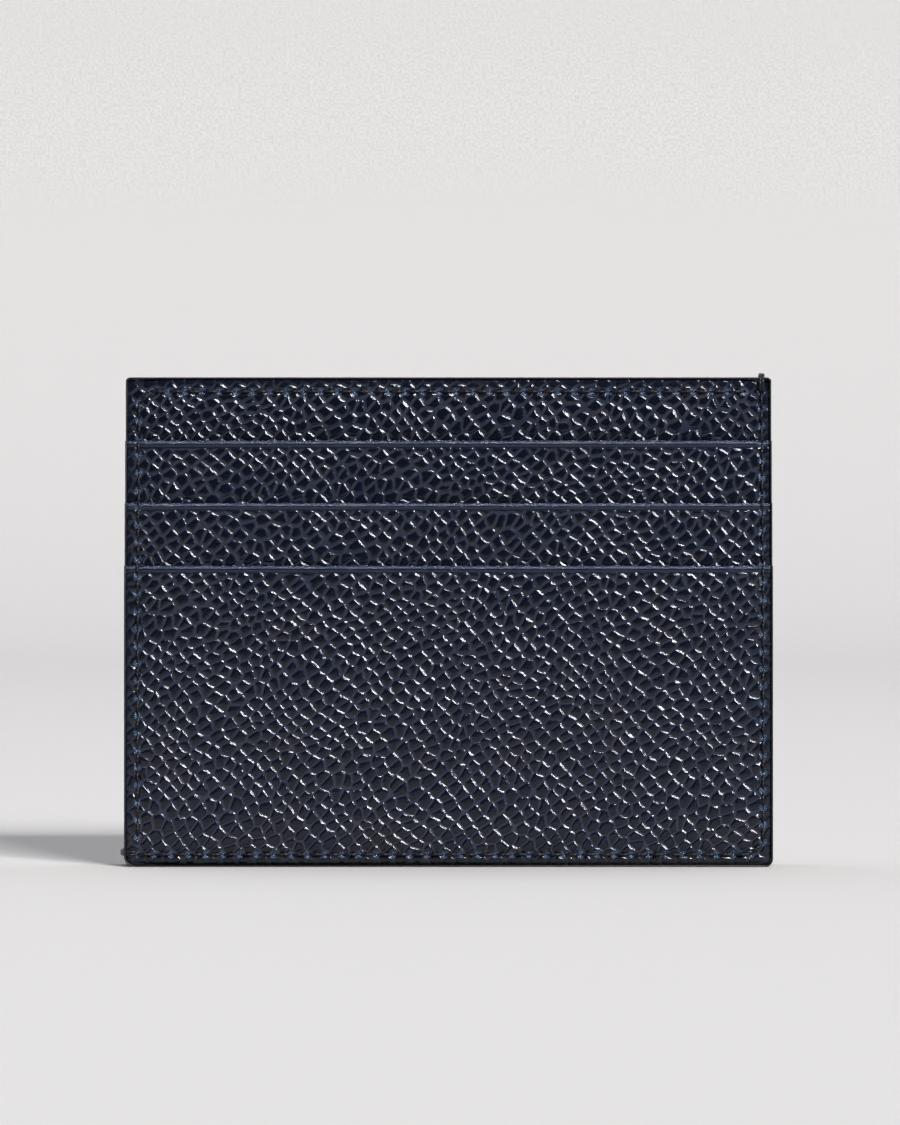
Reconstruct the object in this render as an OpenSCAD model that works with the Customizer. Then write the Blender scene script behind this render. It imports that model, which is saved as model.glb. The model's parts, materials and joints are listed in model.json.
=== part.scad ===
/* [Body] */
// Width across the painted side edges
body_w = 100; // [80:1:130]
// Height from the resting edge to the top edge
body_h = 75.5; // [62:0.5:95]
// Thickness of the dried paint on the cut edges
paint_t = 0.25; // [0.15:0.05:0.4]
// Radius of the two top corners
top_corner_r = 0.7; // [0.5:0.1:1.1]
// Radius of the bottom corner on the open side
open_corner_r = 1.6; // [0.5:0.1:1.6]
// Radius of the bottom corner on the closed side
closed_corner_r = 1.2; // [0.5:0.1:2.4]

/* [Leather and lining] */
// Thickness of the front pocket and the back panel
panel_t = 0.6; // [0.4:0.05:1.5]
// Thickness of the divider panel and the two slot strips
strip_t = 0.5; // [0.3:0.05:1.2]
// Thickness of the lining cloth
lining_t = 0.15; // [0.1:0.05:0.4]

/* [Pockets] */
// Clear gap inside each card slot
slot_gap = 0.9; // [0.85:0.05:3]
// Clear gap inside the central pocket
centre_gap = 0.9; // [0.5:0.05:6]
// Drop from the top edge to the first slot mouth
first_mouth_drop = 9.8; // [6:0.1:14]
// Drop from one slot mouth to the next
mouth_pitch = 9.65; // [6:0.05:12]
// Height of each slot strip, most of it behind the strip in front
strip_h = 21.7; // [15:0.1:24]
// Height of the middle slot's floor above the resting edge
middle_floor_h = 11.45; // [8:0.05:13]
// Rise from the middle slot's floor to the upper slot's floor
floor_pitch = 9.65; // [5:0.05:12]
// Height of the sewn hem under each hanging lining
hem_h = 2.0; // [1:0.1:4]
// Distance that each lining stops below its mouth
lining_drop = 1.2; // [0.5:0.1:3]
// Distance that the side fillers stop below each mouth
filler_drop = 0.6; // [0.2:0.1:2]

/* [Seams] */
// Width of the sewn margin round the pockets
seam_margin = 3.0; // [2.6:0.1:6]
// Needle hole to needle hole length of one stitch
stitch_pitch = 2.65; // [1.5:0.05:4]
// Width of the thread
thread_w = 0.4; // [0.2:0.05:0.6]
// Height that the thread stands proud of the leather
thread_proud = 0.25; // [0.1:0.05:0.5]
// Length left free between two stitches for the needle hole
needle_gap = 0.3; // [0.1:0.05:0.6]
// Strands laid side by side where the closing thread passes over an edge
wrap_strands = 2; // [1:1:2]
// Distance of the top row from the top edge
top_seam_inset = 2.2; // [1.4:0.1:2.6]
// Distance of the row beside the open edge
open_seam_inset = 2.1; // [1.4:0.1:2.6]
// Distance of the closing row from the closed side edge
closed_seam_inset = 1.5; // [1.4:0.1:2.6]
// Distance of the closing row from the resting edge
bottom_seam_inset = 1.9; // [1.8:0.1:2.6]

/* [Hidden] */

leather_colour = "#272b35";
lining_colour = "#1d212b";
filler_colour = "#2e2a27";
paint_colour = "#0d0e12";
thread_colour = "#151822";
arc_steps = 10;

// The layers from the front, each starting where the one before it ends
stack_t = 2 * panel_t + 3 * strip_t + 5 * lining_t + 3 * slot_gap + centre_gap;
slot_step = strip_t + lining_t + slot_gap;
front_y = -stack_t / 2;
front_lining_y = front_y + panel_t;
front_lining_back = front_lining_y + lining_t;
middle_y = front_lining_back + slot_gap;
upper_y = middle_y + slot_step;
divider_y = upper_y + slot_step;
divider_lining_y = divider_y + strip_t;
divider_back = divider_lining_y + lining_t;
back_lining_y = divider_back + centre_gap;
back_y = back_lining_y + lining_t;
stack_back = back_y + panel_t;

// The leather ends under the paint, and the pockets end at the sewn margin
edge_x = body_w / 2;
cut_x = edge_x - paint_t;
cut_low = paint_t;
cut_high = body_h - paint_t;
inner_x = edge_x - seam_margin;
inner_low = seam_margin;
top_cut_r = top_corner_r - paint_t;
open_cut_r = open_corner_r - paint_t;
closed_cut_r = closed_corner_r - paint_t;

// Slot mouths, strip ends and slot floors
upper_mouth = body_h - first_mouth_drop;
middle_mouth = upper_mouth - mouth_pitch;
front_mouth = middle_mouth - mouth_pitch;
upper_strip_low = upper_mouth - strip_h;
middle_strip_low = middle_mouth - strip_h;
middle_floor = middle_floor_h;
upper_floor = middle_floor + floor_pitch;

// Stitch lines, with one slanting stitch across each turned corner
top_seam_z = body_h - top_seam_inset;
bottom_seam_z = bottom_seam_inset;
open_seam_x = -edge_x + open_seam_inset;
closed_seam_x = edge_x - closed_seam_inset;
corner_cut = stitch_pitch / sqrt(2);
wrap_w = wrap_strands * thread_w;

// Points of an arc of radius r round the point c, from angle a0 to a1
function arc(c, r, a0, a1) =
    [for (i = [0:arc_steps]) let (a = a0 + (a1 - a0) * i / arc_steps) c + r * [cos(a), sin(a)]];

// One corner of a plate: an arc, or the bare corner where the radius is 0
function corner(p, side, r, a0) =
    r > 0 ? arc([p[0] - side[0] * r, p[1] - side[1] * r], r, a0, a0 + 90) : [p];

// A plate outline with its own radius at each corner, anticlockwise from the top right
function plate(low, high, tr, tl, bl, br) = concat(
    corner(high, [1, 1], tr, 0),
    corner([low[0], high[1]], [-1, 1], tl, 90),
    corner(low, [-1, -1], bl, 180),
    corner([high[0], low[1]], [1, -1], br, 270));

// An outline drawn across the width and height, t thick behind the plane y
module slab(points, y, t) {
    translate([0, y + t, 0]) rotate([90, 0, 0]) linear_extrude(t) polygon(points);
}

// An outline drawn across the depth and height, w wide to the right of x
module side_slab(points, x, w) {
    translate([x, 0, 0]) rotate([90, 0, 90]) linear_extrude(w) polygon(points);
}

// The whole cut outline of the leather
function whole_outline() =
    plate([-cut_x, cut_low], [cut_x, cut_high], top_cut_r, top_cut_r, open_cut_r, closed_cut_r);

// The part of the cut outline below the height z
function low_outline(z) =
    plate([-cut_x, cut_low], [cut_x, z], 0, 0, open_cut_r, closed_cut_r);

// A straight piece between two heights, half_w to each side
function band(half_w, low, high) = plate([-half_w, low], [half_w, high], 0, 0, 0, 0);

// The front surface at a height: each lower pocket lies further forward
function surface_y(z) =
    z < front_mouth ? front_y : z < middle_mouth ? middle_y : z < upper_mouth ? upper_y : divider_y;

// The stepped edge of the stack, from the front surfaces to the plane y_back
function stepped_edge(low, high, y_back) = [
    [y_back, low], [front_y, low],
    [front_y, front_mouth], [middle_y, front_mouth],
    [middle_y, middle_mouth], [upper_y, middle_mouth],
    [upper_y, upper_mouth], [divider_y, upper_mouth],
    [divider_y, high], [y_back, high]];

// The levels between the strips, which a filler brings up to one height
function filler_steps() = [
    [divider_y, inner_low], [front_lining_back, inner_low],
    [front_lining_back, front_mouth - filler_drop], [middle_y, front_mouth - filler_drop],
    [middle_y, middle_strip_low], [middle_y + strip_t, middle_strip_low],
    [middle_y + strip_t, middle_mouth - filler_drop], [upper_y, middle_mouth - filler_drop],
    [upper_y, upper_strip_low], [upper_y + strip_t, upper_strip_low],
    [upper_y + strip_t, upper_mouth - filler_drop], [divider_y, upper_mouth - filler_drop]];

// Paint over a top edge and its two corners, down to where the side paint begins
function top_paint_outline() = let (z = body_h - top_corner_r, x = edge_x - top_corner_r) concat(
    arc([x, z], top_corner_r, 0, 90), arc([-x, z], top_corner_r, 90, 180),
    arc([-x, z], top_cut_r, 180, 90), arc([x, z], top_cut_r, 90, 0));

// Paint round one corner of radius r about c, starting at angle a0
function corner_paint(c, r, a0) = concat(arc(c, r, a0, a0 + 90), arc(c, r - paint_t, a0 + 90, a0));

// The edge of the back half, which takes in the bottom welt below the central pocket
function back_edge(low, high) = [
    [divider_back, low], [divider_back, inner_low], [back_lining_y, inner_low],
    [back_lining_y, high], [stack_back, high], [stack_back, low]];

// Paint over the top end of the welt and the corner beside it
function welt_paint_outline() = let (z = body_h - top_corner_r, x = edge_x - top_corner_r) concat(
    arc([x, z], top_corner_r, 0, 90), [[inner_x, body_h], [inner_x, cut_high]],
    arc([x, z], top_cut_r, 90, 0));

// Needle holes spaced evenly from p to q
function holes(p, q) =
    let (count = max(1, round(norm(q - p) / stitch_pitch))) [for (i = [0:count]) p + (q - p) * i / count];

// Rows of the two half seams, along the top and down the open side
function half_seam() = concat(
    holes([closed_seam_x - stitch_pitch, top_seam_z], [open_seam_x + corner_cut, top_seam_z]),
    holes([open_seam_x, top_seam_z - corner_cut], [open_seam_x, bottom_seam_z + stitch_pitch]));

// Rows of the closing seam, down the closed side and along the resting edge
function closing_seam() = concat(
    holes([closed_seam_x, top_seam_z], [closed_seam_x, bottom_seam_z + corner_cut]),
    holes([closed_seam_x - corner_cut, bottom_seam_z], [open_seam_x, bottom_seam_z]));

// The row that holds a hem, in the middle of the hem's height
function hem_row(floor_z) =
    holes([-inner_x + stitch_pitch, floor_z - hem_h / 2], [inner_x - stitch_pitch, floor_z - hem_h / 2]);

// One stitch between the holes p and q, standing forward of the plane y
module stitch(p, q, y) {
    half = (norm(q - p) - needle_gap) / 2;
    half_w = thread_w / 2;
    mid = (p + q) / 2;
    slope = atan2(q[1] - p[1], q[0] - p[0]);
    translate([mid[0], y, mid[1]]) rotate([90, -slope, 0]) linear_extrude(thread_proud)
        polygon([[half, 0], [half - half_w, half_w], [half_w - half, half_w],
                 [-half, 0], [half_w - half, -half_w], [half - half_w, -half_w]]);
}

// Stitches between neighbouring holes, each on the furthest forward surface that it meets
module front_row(row) {
    for (i = [0:len(row) - 2])
        stitch(row[i], row[i + 1], surface_y(min(row[i][1], row[i + 1][1])));
}

// Stitches between neighbouring holes on the plane y, standing forward of it
module flat_row(row, y) {
    for (i = [0:len(row) - 2])
        stitch(row[i], row[i + 1], y);
}

module back_panel() {
    color(leather_colour) slab(whole_outline(), back_y, panel_t);
}

module back_lining() {
    color(lining_colour) slab(whole_outline(), back_lining_y, lining_t);
}

module divider_panel() {
    color(leather_colour) slab(whole_outline(), divider_y, strip_t);
}

module divider_lining() {
    color(lining_colour) slab(whole_outline(), divider_lining_y, lining_t);
}

module upper_pocket_strip() {
    color(leather_colour) slab(band(cut_x, upper_strip_low, upper_mouth), upper_y, strip_t);
}

module upper_pocket_lining() {
    color(lining_colour)
        slab(band(inner_x, upper_floor - hem_h, upper_mouth - lining_drop), upper_y + strip_t, lining_t);
}

// Closes the upper slot's floor against the divider
module upper_pocket_hem() {
    color(lining_colour)
        slab(band(inner_x, upper_floor - hem_h, upper_floor), upper_y + strip_t + lining_t, slot_gap);
}

module middle_pocket_strip() {
    color(leather_colour) slab(band(cut_x, middle_strip_low, middle_mouth), middle_y, strip_t);
}

module middle_pocket_lining() {
    color(lining_colour)
        slab(band(inner_x, middle_floor - hem_h, middle_mouth - lining_drop), middle_y + strip_t, lining_t);
}

// Closes the middle slot's floor against the divider, below the upper lining
module middle_pocket_hem() {
    hem_y = middle_y + strip_t + lining_t;
    color(lining_colour) slab(band(inner_x, middle_floor - hem_h, middle_floor), hem_y, divider_y - hem_y);
}

module front_pocket() {
    color(leather_colour) slab(low_outline(front_mouth), front_y, panel_t);
}

module front_pocket_lining() {
    color(lining_colour) slab(low_outline(front_mouth - lining_drop), front_lining_y, lining_t);
}

module left_filler() {
    color(filler_colour) side_slab(filler_steps(), -cut_x, cut_x - inner_x);
}

module right_filler() {
    color(filler_colour) side_slab(filler_steps(), inner_x, cut_x - inner_x);
}

module bottom_filler() {
    color(filler_colour) slab(low_outline(inner_low), front_lining_back, divider_y - front_lining_back);
}

module right_welt() {
    color(filler_colour)
        slab(plate([inner_x, inner_low], [cut_x, cut_high], top_cut_r, 0, 0, 0), divider_back, centre_gap);
}

module bottom_welt() {
    color(filler_colour) slab(low_outline(inner_low), divider_back, centre_gap);
}

// The flat run that the holder stands on, between the two bottom corners
module bottom_edge_paint() {
    color(paint_colour)
        slab(plate([-edge_x + open_corner_r, 0], [edge_x - closed_corner_r, paint_t], 0, 0, 0, 0),
             front_y, stack_t);
}

module right_edge_paint() {
    color(paint_colour) {
        slab(corner_paint([edge_x - closed_corner_r, closed_corner_r], closed_corner_r, 270),
             front_y, stack_t);
        side_slab(stepped_edge(closed_corner_r, body_h - top_corner_r, stack_back), cut_x, paint_t);
        slab(welt_paint_outline(), divider_back, centre_gap);
    }
}

module left_front_edge_paint() {
    color(paint_colour) {
        slab(corner_paint([-edge_x + open_corner_r, open_corner_r], open_corner_r, 180),
             front_y, divider_back - front_y);
        side_slab(stepped_edge(open_corner_r, body_h - top_corner_r, divider_back), -edge_x, paint_t);
    }
}

module left_back_edge_paint() {
    color(paint_colour) {
        slab(corner_paint([-edge_x + open_corner_r, open_corner_r], open_corner_r, 180),
             divider_back, stack_back - divider_back);
        side_slab(back_edge(open_corner_r, body_h - top_corner_r), -edge_x, paint_t);
    }
}

module top_front_edge_paint() {
    color(paint_colour) slab(top_paint_outline(), divider_y, divider_back - divider_y);
}

module top_back_edge_paint() {
    color(paint_colour) slab(top_paint_outline(), back_lining_y, stack_back - back_lining_y);
}

module front_half_stitching() {
    color(thread_colour) front_row(half_seam());
}

module back_half_stitching() {
    color(thread_colour) flat_row(half_seam(), stack_back + thread_proud);
}

module closing_seam_front() {
    color(thread_colour) front_row(closing_seam());
}

module closing_seam_back() {
    color(thread_colour) flat_row(closing_seam(), stack_back + thread_proud);
}

// The closing thread taken over the top edge, from the front face to the back face
module top_wrap() {
    low = top_seam_z + needle_gap / 2;
    high = body_h + thread_proud;
    color(thread_colour)
        side_slab([[divider_y - thread_proud, low], [divider_y, low], [divider_y, body_h],
                   [stack_back, body_h], [stack_back, low], [stack_back + thread_proud, low],
                   [stack_back + thread_proud, high], [divider_y - thread_proud, high]],
                  closed_seam_x - wrap_w / 2, wrap_w);
}

// The closing thread taken round the open side edge
module bottom_wrap() {
    reach = open_seam_x - needle_gap / 2;
    out = -edge_x - thread_proud;
    near = front_y - thread_proud;
    far = stack_back + thread_proud;
    color(thread_colour)
        translate([0, 0, bottom_seam_z - thread_w / 2]) linear_extrude(wrap_w)
            polygon([[reach, near], [reach, front_y], [-edge_x, front_y], [-edge_x, stack_back],
                     [reach, stack_back], [reach, far], [out, far], [out, near]]);
}

module upper_hem_stitching() {
    color(thread_colour) flat_row(hem_row(upper_floor), upper_y + strip_t);
}

module middle_hem_stitching() {
    color(thread_colour) flat_row(hem_row(middle_floor), middle_y + strip_t);
}

back_panel();
back_lining();
divider_panel();
divider_lining();
upper_pocket_strip();
upper_pocket_lining();
upper_pocket_hem();
middle_pocket_strip();
middle_pocket_lining();
middle_pocket_hem();
front_pocket();
front_pocket_lining();
left_filler();
right_filler();
bottom_filler();
right_welt();
bottom_welt();
bottom_edge_paint();
right_edge_paint();
left_front_edge_paint();
left_back_edge_paint();
top_front_edge_paint();
top_back_edge_paint();
front_half_stitching();
back_half_stitching();
closing_seam_front();
closing_seam_back();
top_wrap();
bottom_wrap();
upper_hem_stitching();
middle_hem_stitching();
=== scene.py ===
import bpy
import bmesh
import json
import math
from mathutils import Matrix, Vector

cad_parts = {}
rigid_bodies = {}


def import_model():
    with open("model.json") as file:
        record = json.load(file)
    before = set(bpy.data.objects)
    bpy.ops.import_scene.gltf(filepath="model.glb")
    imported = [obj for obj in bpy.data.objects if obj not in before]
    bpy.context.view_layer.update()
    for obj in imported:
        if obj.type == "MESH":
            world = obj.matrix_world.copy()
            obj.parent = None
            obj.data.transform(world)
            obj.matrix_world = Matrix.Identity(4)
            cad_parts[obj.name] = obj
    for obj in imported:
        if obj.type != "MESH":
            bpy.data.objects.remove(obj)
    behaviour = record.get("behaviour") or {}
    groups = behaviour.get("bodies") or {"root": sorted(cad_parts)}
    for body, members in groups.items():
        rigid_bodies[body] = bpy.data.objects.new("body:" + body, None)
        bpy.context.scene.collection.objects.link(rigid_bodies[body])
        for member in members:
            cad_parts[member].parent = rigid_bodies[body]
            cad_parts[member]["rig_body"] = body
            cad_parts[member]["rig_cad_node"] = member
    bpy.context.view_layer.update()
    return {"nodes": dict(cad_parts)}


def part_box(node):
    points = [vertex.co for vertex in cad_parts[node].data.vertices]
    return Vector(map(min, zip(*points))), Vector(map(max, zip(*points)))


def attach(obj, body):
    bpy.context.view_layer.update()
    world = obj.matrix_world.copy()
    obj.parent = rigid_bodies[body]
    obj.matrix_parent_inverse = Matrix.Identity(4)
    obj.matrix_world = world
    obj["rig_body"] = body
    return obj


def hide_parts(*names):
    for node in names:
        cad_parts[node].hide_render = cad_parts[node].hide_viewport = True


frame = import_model()
nodes = frame["nodes"]
scene = bpy.context.scene


def mm(value):
    return value / 1000


def linear(hexColour):
    # sRGB hex to the linear values that shaders take
    parts = [int(hexColour[i:i + 2], 16) / 255 for i in (1, 3, 5)]
    return tuple(c / 12.92 if c <= 0.04045 else ((c + 0.055) / 1.055) ** 2.4 for c in parts) + (1.0,)


smoothly = {"interpolation_type": "SMOOTHSTEP"}


def addNode(tree, kind, links={}, **settings):
    # adds one node, sets it up, and links or fills its inputs
    node = tree.nodes.new(kind)
    for key, value in settings.items():
        setattr(node, key, value)
    for socket, source in links.items():
        if isinstance(source, bpy.types.NodeSocket):
            tree.links.new(source, node.inputs[socket])
        else:
            node.inputs[socket].default_value = source
    return node


def deselectAll():
    if bpy.context.object and bpy.context.object.mode != "OBJECT":
        bpy.ops.object.mode_set(mode="OBJECT")
    bpy.ops.object.select_all(action="DESELECT")


def makeActive(piece):
    deselectAll()
    piece.select_set(True)
    bpy.context.view_layer.objects.active = piece


def selectWhere(piece, kind, test):
    # selects the faces, edges or vertices that pass the test, in edit mode
    bpy.ops.object.mode_set(mode="EDIT")
    bpy.ops.mesh.select_mode(type=kind)
    bpy.ops.mesh.select_all(action="DESELECT")
    mesh = bmesh.from_edit_mesh(piece.data)
    parts = {"VERT": mesh.verts, "EDGE": mesh.edges, "FACE": mesh.faces}[kind]
    for part in parts:
        if test(part):
            part.select_set(True)
    mesh.select_flush_mode()
    bmesh.update_edit_mesh(piece.data)


def applyModifier(piece, kind, name, **settings):
    makeActive(piece)
    modifier = piece.modifiers.new(name, kind)
    for key, value in settings.items():
        setattr(modifier, key, value)
    bpy.ops.object.modifier_apply(modifier=name)


def joinPieces(pieces):
    deselectAll()
    for piece in pieces:
        piece.select_set(True)
    bpy.context.view_layer.objects.active = pieces[0]
    bpy.ops.object.join()
    return bpy.context.object


def mergeDoubles(distance):
    bpy.ops.object.mode_set(mode="EDIT")
    bpy.ops.mesh.select_all(action="SELECT")
    bpy.ops.mesh.remove_doubles(threshold=distance)
    bpy.ops.object.mode_set(mode="OBJECT")


def finishPiece(piece, name, material, stands=(), smooth=40):
    piece.name = name
    piece.data.name = name
    piece.data.materials.clear()
    piece.data.materials.append(material)
    makeActive(piece)
    bpy.ops.object.shade_smooth_by_angle(angle=math.radians(smooth))
    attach(piece, "root")
    if stands:
        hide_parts(*stands)
    return piece


camera = {
    "lens": 180,            # mm on a 36 mm tall sensor
    "heightInView": 173.3,  # mm of the front face's plane from top to bottom of the picture
    "eyeHeight": 62,        # mm above the floor
    "middleHeight": 46.9,   # mm, the height at the middle of the picture
    "across": 0.23,         # mm to the right of the holder's middle
}

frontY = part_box("front_pocket")[0].y
reach = mm(camera["heightInView"]) * camera["lens"] / 36
bpy.ops.object.camera_add(location=(mm(camera["across"]), frontY - reach, mm(camera["eyeHeight"])),
                          rotation=(math.radians(90), 0, 0))
eye = bpy.context.object
eye.name = "camera"
eye.data.lens = camera["lens"]
eye.data.sensor_width = 36
eye.data.shift_y = (camera["middleHeight"] - camera["eyeHeight"]) / camera["heightInView"]
eye.data.clip_start = 0.01
scene.camera = eye
print("camera placed")

studio = {
    "floorColour": "#b7b4af",
    "wallColour": "#b8b6b3",  # the sweep's back is painted a little lighter, so that both look alike
    "beyondColour": "#1c1d1f",
    "paperEnds": 0.36,      # m in front of the holder
    "sweepStart": 0.9,      # m behind the holder where the floor starts to rise
    "sweepRadius": 0.6,
    "room": 2.3,            # light from behind and above
    "front": 0.03,          # light from behind the camera, where the room is dark
    "roomColour": "#e8eeff",
}

key = {
    "way": (0.48, -0.63, 0.61),   # from the holder towards the middle of the long softbox
    "strength": 5.0,
    "lamps": 7,             # it is drawn as lamps side by side
    "spread": 36,           # degrees from the first to the last
    "wide": 4.0,            # degrees that each covers
    "colour": "#fcfcff",
}

lamps = {
    # name: direction from the holder, distance, size, power, colour
    "topSoftbox": ((-0.05, 0.05, 1.0), 0.95, (0.9, 0.5), 2.0, "#f4f8ff"),
}


def newMaterial(name):
    made = bpy.data.materials.new(name)
    made.use_nodes = True
    tree = made.node_tree
    return made, tree, tree.nodes["Principled BSDF"], addNode(tree, "ShaderNodeTexCoord").outputs["Object"]


def setSockets(shader, values):
    for name, value in values.items():
        shader.inputs[name].default_value = value


def makeFloor():
    deselectAll()
    bpy.ops.mesh.primitive_plane_add(size=4, location=(0, studio["sweepStart"] - 2, 0))
    floor = bpy.context.object
    floor.name = "floor"
    selectWhere(floor, "EDGE", lambda e: min(v.co.y for v in e.verts) > 1.9)
    for step in range(12):
        angle = math.radians(90 * (step + 0.5) / 12)
        length = studio["sweepRadius"] * math.pi / 24
        bpy.ops.mesh.extrude_region_move(TRANSFORM_OT_translate={
            "value": (0, length * math.cos(angle), length * math.sin(angle))})
    bpy.ops.mesh.extrude_region_move(TRANSFORM_OT_translate={"value": (0, 0, 2.5)})
    bpy.ops.object.mode_set(mode="OBJECT")
    bpy.ops.object.transform_apply(location=True, rotation=True, scale=True)
    bpy.ops.object.shade_smooth()
    # matt paper, even and dull, so that it shows no glare
    paper, tree, shader, place = newMaterial("matt_paper_sweep")
    away = addNode(tree, "ShaderNodeSeparateXYZ", {0: place}).outputs["Y"]
    share = addNode(tree, "ShaderNodeMapRange", {0: away, 1: 0.05, 2: 1.1}).outputs[0]
    paint = addNode(tree, "ShaderNodeMix", {0: share, 6: linear(studio["floorColour"]),
                                            7: linear(studio["wallColour"])}, data_type="RGBA").outputs[2]
    # the paper ends before the camera, and the dark studio floor beyond it is what flat leather mirrors
    near = addNode(tree, "ShaderNodeMapRange", {0: away, 1: -studio["paperEnds"] - 0.15,
                                                2: -studio["paperEnds"], 3: 1.0, 4: 0.0},
                   **smoothly).outputs[0]
    whole = addNode(tree, "ShaderNodeMix", {0: near, 6: paint, 7: linear(studio["beyondColour"])},
                    data_type="RGBA").outputs[2]
    tree.links.new(whole, shader.inputs["Base Color"])
    setSockets(shader, {"Roughness": 1.0, "Specular IOR Level": 0.0})
    floor.data.materials.append(paper)


def makeLights():
    middle = Vector((0, 0, 0.038))
    way = Vector(key["way"]).normalized()
    for number in range(key["lamps"]):
        share = number / (key["lamps"] - 1) - 0.5
        turned = Matrix.Rotation(math.radians(key["spread"] * share), 3, "Y") @ way
        bpy.ops.object.light_add(type="SUN", location=middle + turned,
                                 rotation=turned.to_track_quat("Z", "Y").to_euler())
        lamp = bpy.context.object
        lamp.name = "keySoftbox" + str(number + 1)
        lamp.data.energy = key["strength"] / key["lamps"]
        lamp.data.angle = math.radians(key["wide"])
        lamp.data.color = linear(key["colour"])[:3]
    for name, (way, far, size, power, colour) in lamps.items():
        spot = middle + Vector(way).normalized() * far
        bpy.ops.object.light_add(type="AREA", location=spot,
                                 rotation=(spot - middle).to_track_quat("Z", "Y").to_euler())
        lamp = bpy.context.object
        lamp.name = name
        lamp.data.shape = "RECTANGLE"
        lamp.data.size, lamp.data.size_y = size
        lamp.data.energy = power
        lamp.data.color = linear(colour)[:3]
    # a room that is bright behind and above, and dark behind the camera, which is what flat leather mirrors
    world = bpy.data.worlds.new("studio")
    world.use_nodes = True
    tree = world.node_tree
    background = tree.nodes["Background"]
    background.inputs["Color"].default_value = linear(studio["roomColour"])
    way = addNode(tree, "ShaderNodeTexCoord").outputs["Generated"]
    facing = addNode(tree, "ShaderNodeVectorMath", {0: way, 1: (0.0, -1.0, 0.0)},
                     operation="DOT_PRODUCT").outputs["Value"]
    level = addNode(tree, "ShaderNodeMapRange", {0: facing, 1: -0.6, 2: 0.4, 3: studio["room"],
                                                 4: studio["front"]},
                    **smoothly).outputs[0]
    tree.links.new(level, background.inputs["Strength"])
    scene.world = world
    scene.view_settings.view_transform = "Standard"


makeFloor()
makeLights()
print("floor and lights placed")


grain = {
    "long": 1.95,       # mm from pebble to pebble along the grain
    "short": 1.58,      # mm from pebble to pebble across it
    "turn": 42,         # degrees that the long way leans from level
    "bend": 1.1,        # mm that rows of pebbles wander
    "bendOver": 13,     # mm over which they wander
    "crumple": 0.16,    # mm that a pebble's outline is pushed about
    "crumpleOver": 1.3,
    "random": 0.58,     # 0 is a regular net, 1 is as uneven as can be
    "roundAt": 0.71,    # pebble spacings from its middle to where its corners are cut
    "floor": 0.03,      # share of a pebble that its half of the furrow's floor takes
    "shoulder": 0.20,   # share of a pebble that its bevelled shoulder takes
    "bevel": 0.55,      # 1 is a straight bevel, less is steeper at the furrow than at the top
    "relief": 0.05,     # mm from furrow to pebble top in the mesh
}


def pebbleField(tree, place, shift):
    # distance to the nearest furrow, and a random colour for each pebble
    apart = addNode(tree, "ShaderNodeSeparateXYZ", {0: place})
    flat = addNode(tree, "ShaderNodeCombineXYZ", {"X": apart.outputs["X"], "Y": apart.outputs["Z"]})
    inMm = addNode(tree, "ShaderNodeVectorMath", {0: flat.outputs[0], 1: (1000, 1000, 1000), 2: shift},
                   operation="MULTIPLY_ADD").outputs[0]
    wander = addNode(tree, "ShaderNodeTexNoise", {"Vector": inMm, "Scale": 1 / grain["bendOver"],
                                                  "Detail": 0.0}, noise_dimensions="2D")
    bent = addNode(tree, "ShaderNodeVectorMath", {0: wander.outputs["Color"], 1: (grain["bend"] * 2,) * 3,
                                                  2: inMm}, operation="MULTIPLY_ADD").outputs[0]
    push = addNode(tree, "ShaderNodeTexNoise", {"Vector": inMm, "Scale": 1 / grain["crumpleOver"],
                                                "Detail": 1.0}, noise_dimensions="2D")
    pushed = addNode(tree, "ShaderNodeVectorMath", {0: push.outputs["Color"],
                                                    1: (grain["crumple"] * 2,) * 3, 2: bent},
                     operation="MULTIPLY_ADD").outputs[0]
    lean = -math.radians(grain["turn"])
    turned = addNode(tree, "ShaderNodeVectorRotate", {"Vector": pushed, "Angle": lean},
                     rotation_type="Z_AXIS")
    scaled = addNode(tree, "ShaderNodeVectorMath", {0: turned.outputs[0],
                                                    1: (1 / grain["long"], 1 / grain["short"], 0)},
                     operation="MULTIPLY").outputs[0]
    edge = addNode(tree, "ShaderNodeTexVoronoi", {"Vector": scaled, "Scale": 1.0,
                                                  "Randomness": grain["random"]},
                   voronoi_dimensions="2D", feature="DISTANCE_TO_EDGE")
    cell = addNode(tree, "ShaderNodeTexVoronoi", {"Vector": scaled, "Scale": 1.0,
                                                  "Randomness": grain["random"]},
                   voronoi_dimensions="2D", feature="F1")
    # a circle round each pebble's middle takes off the corners of its outline
    circle = addNode(tree, "ShaderNodeMath", {0: grain["roundAt"], 1: cell.outputs["Distance"]},
                     operation="SUBTRACT").outputs[0]
    inside = addNode(tree, "ShaderNodeMath", {0: edge.outputs["Distance"], 1: circle, 2: 0.10},
                     operation="SMOOTH_MIN").outputs[0]
    return inside, cell.outputs["Color"], inMm


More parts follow.
